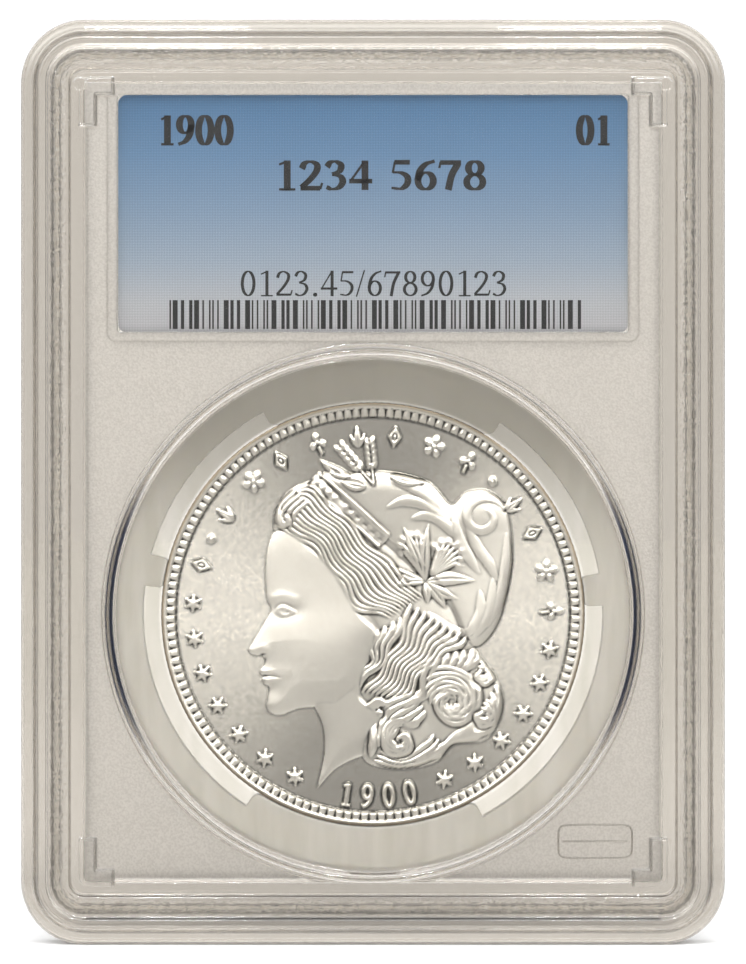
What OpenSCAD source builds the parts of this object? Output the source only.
// Graded coin slab: a flat clear case, welded shut, with one large silver coin in a
// pronged holding ring and a printed label card above it.
// The case stands on its bottom edge: X is its width, Z its height, and its face looks along -Y.
// Shapes are drawn flat, with the case's centre at the origin and height towards the face,
// and the stand_up module turns them upright at the end.

/* [Case] */
// Width of the case
case_w = 63.2; // [63:0.1:66]
// Height of the case
case_h = 83.0; // [83:0.1:88]
// Thickness of the case over its stacking ridges
case_t = 8.0; // [8:0.1:9]
// Corner radius of the case outline
corner_r = 5.7; // [5.6:0.1:7]
// Wall thickness of the panels and windows
wall_t = 1.4; // [1.2:0.1:1.5]

/* [Coin and ring] */
// Coin diameter
coin_d = 38.1; // [30:0.1:38.2]
// Coin thickness at its rim
coin_t = 2.4; // [1.6:0.1:2.6]
// Number of reeds on the coin's edge
reeds = 189; // [60:1:200]
// Height of the coin's centre above the bottom of the case
coin_z = 29.6; // [29.6:0.1:31]
// Turn of the holding ring, clockwise as seen from the face
ring_turn = 2.5; // [-5:0.5:5]
// Half of the arc that the top and bottom prongs span
long_prong_half = 31; // [20:1:35]
// Half of the arc that the two side prongs span
side_prong_half = 4; // [2:0.5:8]
// How far the side prongs sit above the coin's middle
side_prong_lift = 8.7; // [0:0.1:12]

/* [Label] */
// Width of the label card
card_w = 45.8; // [40:0.1:46]
// Height of the label card
card_h = 21.4; // [18:0.1:21.4]
// Thickness of the label card
card_t = 0.45; // [0.3:0.05:0.8]
// Height of the label card's centre above the bottom of the case
card_z = 65.6; // [65.6:0.1:66]
// Width of the foil seal on the back of the label
seal_w = 24; // [10:1:30]
// Height of the foil seal on the back of the label
seal_h = 12; // [8:1:16]

/* [Hidden] */
$fn = 96;

// Heights towards the face, from the plane where the two shells meet
top_h = case_t / 2;             // top of the stacking ridge
shoulder_h = top_h - 0.85;      // rounded shoulder outside the ridge
band_h = top_h - 0.5;           // flat band inside the front ridge
ledge_h = top_h - 0.7;          // ledge that frames the panel
panel_h = top_h - 1.05;         // frosted panel
cavity_h = panel_h - wall_t;    // inside face of the panel
half_gap = 0.05;                // half of the open parting line
eps = 0.01;

// Distances inward from the case outline
edge_r = 0.9;                   // rounding of the outer edge
ridge_foot = 1.0;
ridge_out = 1.75;               // ridge top begins
ridge_in = 2.5;                 // front ridge ends
ridge_round = 0.25;
rear_ridge_out = 2.75;          // the rear ridge nests inside the front ridge of another case
rear_ridge_in = 4.2;
band_in = 4.35;                 // inner end of the band
sweep_in = 5.1;                 // how far the swept rim reaches
recess_in = 5.65;               // top of the slanted wall round the panel
recess_slant = 0.3;

// Hollows of the rim, from the parting plane: [outer side, inner side, height]
front_cores = [[1.5, 2.75, 1.9], [3.55, 4.4, 1.9]];
rear_cores = [[1.5, 2.05, 1.9], [4.15, 4.4, 1.9]];

// Tongue of the front shell and groove of the rear shell
tongue_out = 2.85;
tongue_in = 3.45;
tongue_l = 0.75;
groove_clear = 0.1;
weld_t = 0.15;

// Coin window, well and ring
bead_in = 22.9;                 // inner and outer foot of the bead round the coin window
bead_out = 24.4;
bead_rise = 0.4;
window_rise = 0.05;
well_r = 23.3;                  // inside of the round rib
well_wall = 0.75;
ring_or = 23.1;
ring_ir = 20.7;
prong_r = coin_d / 2 + 0.03;    // tips of the prongs
ring_half_t = cavity_h - 0.05;
coin_rim_w = 0.55;
coin_rim_h = 0.22;
reed_depth = 0.12;

// Label pocket
pocket_w = card_w + 0.3;
pocket_h = card_h + 0.1;
pocket_wall = 0.75;
pad_rise = 0.12;                // the clear window stands this far out of the panel
card_face_h = 0.9;              // printed face of the card
seal_t = 0.06;

// Corner bosses
boss_in = 5.3;                  // outer sides of the L, from the outline
boss_w = 1.55;
boss_long = 4.35;
boss_short = 3.15;
boss_r = 0.9;
boss_h = band_h;
pin_r = 0.6;

// Positions in the flat drawing
coin_y = coin_z - case_h / 2;
card_y = card_z - case_h / 2;
side_l = case_h - 2 * corner_r;
end_l = case_w - 2 * corner_r;

function arc(cx, cy, r, a0, a1, n = 8) =
    [for (i = [0:n]) let (a = a0 + (a1 - a0) * i / n) [cx + r * cos(a), cy + r * sin(a)]];

// A smooth step from one point down or up to another, level at both ends
function ogee(x0, y0, x1, y1, n = 10) =
    [for (i = [0:n]) let (t = i / n) [x0 + (x1 - x0) * t, y0 + (y1 - y0) * (1 - cos(180 * t)) / 2]];

// A smooth hump from x0 to x1, standing rise above y
function bead(x0, x1, y, rise, n = 16) =
    [for (i = [1:n]) [x0 + (x1 - x0) * i / n, y + rise * (1 - cos(360 * i / n)) / 2]];

module stand_up() {
    translate([0, 0, case_h / 2]) rotate([90, 0, 0]) children();
}

// Turns a flat drawing over, so that its height points to the back
module to_back() {
    mirror([0, 0, 1]) children();
}

module rounded_rect(w, h, r) {
    square([w - 2 * r, h], center = true);
    square([w, h - 2 * r], center = true);
    for (sx = [-1, 1], sy = [-1, 1])
        translate([sx * (w / 2 - r), sy * (h / 2 - r)]) circle(r);
}

// Carries a profile all round the case. In the profile, x is the distance inward from the
// outline and y is the height.
module sweep_round() {
    for (turn = [0, 180]) rotate(turn) {
        translate([case_w / 2, 0, 0]) rotate([90, 0, 0])
            linear_extrude(side_l, center = true) mirror([1, 0]) children();
        rotate(90) translate([case_h / 2, 0, 0]) rotate([90, 0, 0])
            linear_extrude(end_l, center = true) mirror([1, 0]) children();
        translate([end_l / 2, side_l / 2, 0])
            rotate_extrude(angle = 90) translate([corner_r, 0]) mirror([1, 0]) children();
        translate([-end_l / 2, side_l / 2, 0]) rotate(90)
            rotate_extrude(angle = 90) translate([corner_r, 0]) mirror([1, 0]) children();
    }
}

// Outer edge that both shells share, from the parting line over the rounded shoulder
outer_edge = concat([[0, half_gap]], arc(edge_r, shoulder_h - edge_r, edge_r, 180, 90));

module front_rim_profile() {
    difference() {
        polygon(concat(
            outer_edge,
            ogee(ridge_foot, shoulder_h, ridge_out, top_h),
            arc(ridge_in - ridge_round, top_h - ridge_round, ridge_round, 90, 0),
            [[ridge_in, band_h], [band_in, band_h], [band_in + 0.15, ledge_h], [sweep_in, ledge_h],
             [sweep_in, half_gap]]
        ));
        cores(front_cores);
    }
    translate([tongue_out, -tongue_l]) square([tongue_in - tongue_out, tongue_l + 1]);
}

module rear_rim_profile() {
    difference() {
        polygon(concat(
            outer_edge,
            [[rear_ridge_out, shoulder_h]],
            arc(rear_ridge_out + ridge_round, top_h - ridge_round, ridge_round, 180, 90),
            arc(rear_ridge_in - ridge_round, top_h - ridge_round, ridge_round, 90, 0),
            [[rear_ridge_in, ledge_h], [sweep_in, ledge_h], [sweep_in, half_gap]]
        ));
        cores(rear_cores);
        translate([tongue_out - groove_clear, 0])
            square([tongue_in - tongue_out + 2 * groove_clear, tongue_l + weld_t]);
    }
}

module cores(list) {
    for (core = list)
        translate([core[0], -1]) square([core[1] - core[0], core[2] + 1]);
}

// Panel plate with its slanted recess, inside the swept rim
module panel_plate() {
    outer_w = case_w - 2 * sweep_in;
    outer_h = case_h - 2 * sweep_in;
    recess_w = case_w - 2 * recess_in;
    recess_h = case_h - 2 * recess_in;
    slope_l = recess_slant * sqrt(2);
    difference() {
        translate([0, 0, cavity_h])
            linear_extrude(ledge_h - cavity_h) square([outer_w + 2 * eps, outer_h + 2 * eps], center = true);
        translate([0, 0, panel_h])
            linear_extrude(top_h) square([recess_w - 2 * recess_slant, recess_h - 2 * recess_slant], center = true);
        slant_cut(recess_w / 2, recess_h + 2 * eps);
        rotate(90) slant_cut(recess_h / 2, recess_w + 2 * eps);
    }
    // solid inner wall of the rim, which the panel hangs from
    difference() {
        translate([0, 0, half_gap])
            linear_extrude(cavity_h - half_gap + eps) square([outer_w + 2 * eps, outer_h + 2 * eps], center = true);
        linear_extrude(cavity_h)
            rounded_rect(case_w - 2 * recess_in, case_h - 2 * recess_in, 0.6);
    }
}

// Cuts the two slanted walls that face each other at +x and -x
module slant_cut(x, length) {
    for (side = [0, 180]) rotate(side)
        rotate([90, 0, 0]) linear_extrude(length - 2 * recess_slant, center = true)
            polygon([[x - recess_slant - 0.1, panel_h], [x - recess_slant, panel_h],
                     [x, ledge_h], [x, top_h], [x - recess_slant - 0.1, top_h]]);
}

// Clear coin window with a raised bead round it
module coin_window() {
    translate([0, coin_y, 0]) rotate_extrude()
        polygon(concat([[0, cavity_h + 0.2], [0, panel_h + window_rise], [bead_in, panel_h + window_rise]],
                       bead(bead_in, bead_out, panel_h, bead_rise),
                       [[bead_out, cavity_h + 0.2]]));
}

// Round rib that keeps the holding ring in place
module coin_well() {
    translate([0, coin_y, half_gap]) difference() {
        cylinder(h = cavity_h - half_gap + eps, r = well_r + well_wall);
        translate([0, 0, -1]) cylinder(h = cavity_h + 2, r = well_r);
    }
}

// Rectangular rib round the label card
module label_pocket() {
    translate([0, card_y, half_gap]) linear_extrude(cavity_h - half_gap + eps) difference() {
        rounded_rect(pocket_w + 2 * pocket_wall, pocket_h + 2 * pocket_wall, 0.8);
        rounded_rect(pocket_w, pocket_h, 0.4);
    }
}

module label_window() {
    translate([0, card_y, panel_h - 0.2]) linear_extrude(pad_rise + 0.2)
        rounded_rect(pocket_w + 2 * pocket_wall, pocket_h + 2 * pocket_wall, 0.8);
}

module corner_bosses() {
    x = case_w / 2 - boss_in;
    y = case_h / 2 - boss_in;
    for (mx = [0, 1], my = [0, 1]) mirror([mx, 0, 0]) mirror([0, my, 0]) {
        translate([x, y, panel_h - 0.3]) linear_extrude(boss_h - panel_h + 0.3) {
            translate([-boss_w, -boss_long]) square([boss_w, boss_long - boss_r]);
            translate([-boss_short, -boss_w]) square([boss_short - boss_r, boss_w]);
            translate([-boss_w, -boss_w]) square(boss_w - boss_r);
            translate([-boss_r, -boss_r]) circle(boss_r);
        }
    }
    // round marks of the ejector pins in the two upper corners
    for (side = [-1, 1])
        translate([side * (x - 0.1), y - 0.55, panel_h])
            cylinder(h = boss_h - panel_h + 0.15, r = pin_r);
}

module front_shell() {
    color("gainsboro", 0.4) stand_up() {
        sweep_round() front_rim_profile();
        panel_plate();
        coin_window();
        coin_well();
        label_pocket();
        label_window();
        corner_bosses();
    }
}

module rear_shell() {
    color("gainsboro", 0.4) stand_up() to_back() {
        sweep_round() rear_rim_profile();
        panel_plate();
        coin_window();
        coin_well();
        label_pocket();
        label_window();
    }
}

// Melted plastic between the tip of the tongue and the floor of the groove
module weld_seam() {
    color("whitesmoke") stand_up() to_back() translate([0, 0, tongue_l])
        sweep_round() translate([tongue_out, 0]) square([tongue_in - tongue_out, weld_t]);
}

// Outline of a prong from radius r0 to r1, centred on +y, with its two inner corners rounded
function prong_outline(r0, r1, half, corner) =
    let (inset = asin(corner / (r0 + corner)), a = half - inset, rc = r0 + corner)
    concat(
        arc(0, 0, r1, 90 - half, 90 + half, 24),
        arc(rc * cos(90 + a), rc * sin(90 + a), corner, 180 + half, 270 + a),
        arc(0, 0, r0, 90 + a, 90 - a, 24),
        arc(rc * cos(90 - a), rc * sin(90 - a), corner, -90 - a, -half)
    );

module coin_ring() {
    color("antiquewhite", 0.6) stand_up() translate([0, coin_y, -ring_half_t]) rotate(-ring_turn)
        linear_extrude(2 * ring_half_t) {
            difference() {
                circle(ring_or);
                circle(ring_ir);
            }
            for (turn = [0, 180])
                rotate(turn) polygon(prong_outline(prong_r, ring_ir + 0.3, long_prong_half, 0.8));
            for (side = [-1, 1])
                rotate(side * (90 - side_prong_lift))
                    polygon(prong_outline(prong_r, ring_ir + 0.3, side_prong_half, 0.3));
        }
}

function reed_point(i) =
    let (a = 360 * i / (4 * reeds), r = coin_d / 2 - (i % 4 < 2 ? 0 : reed_depth))
    [r * cos(a), r * sin(a)];

module coin() {
    color("silver") stand_up() translate([0, coin_y, -coin_t / 2]) difference() {
        linear_extrude(coin_t) polygon([for (i = [0:4 * reeds - 1]) reed_point(i)]);
        for (z = [-1, coin_t - coin_rim_h])
            translate([0, 0, z]) cylinder(h = 1 + coin_rim_h, r = coin_d / 2 - reed_depth - coin_rim_w);
    }
}

module label_card() {
    color("steelblue") stand_up() translate([0, card_y, card_face_h - card_t])
        linear_extrude(card_t) rounded_rect(card_w, card_h, 0.8);
}

module label_seal() {
    color("lightgray") stand_up() translate([0, card_y, card_face_h - card_t - seal_t])
        linear_extrude(seal_t) rounded_rect(seal_w, seal_h, 1);
}

front_shell();
rear_shell();
weld_seam();
coin_ring();
coin();
label_card();
label_seal();
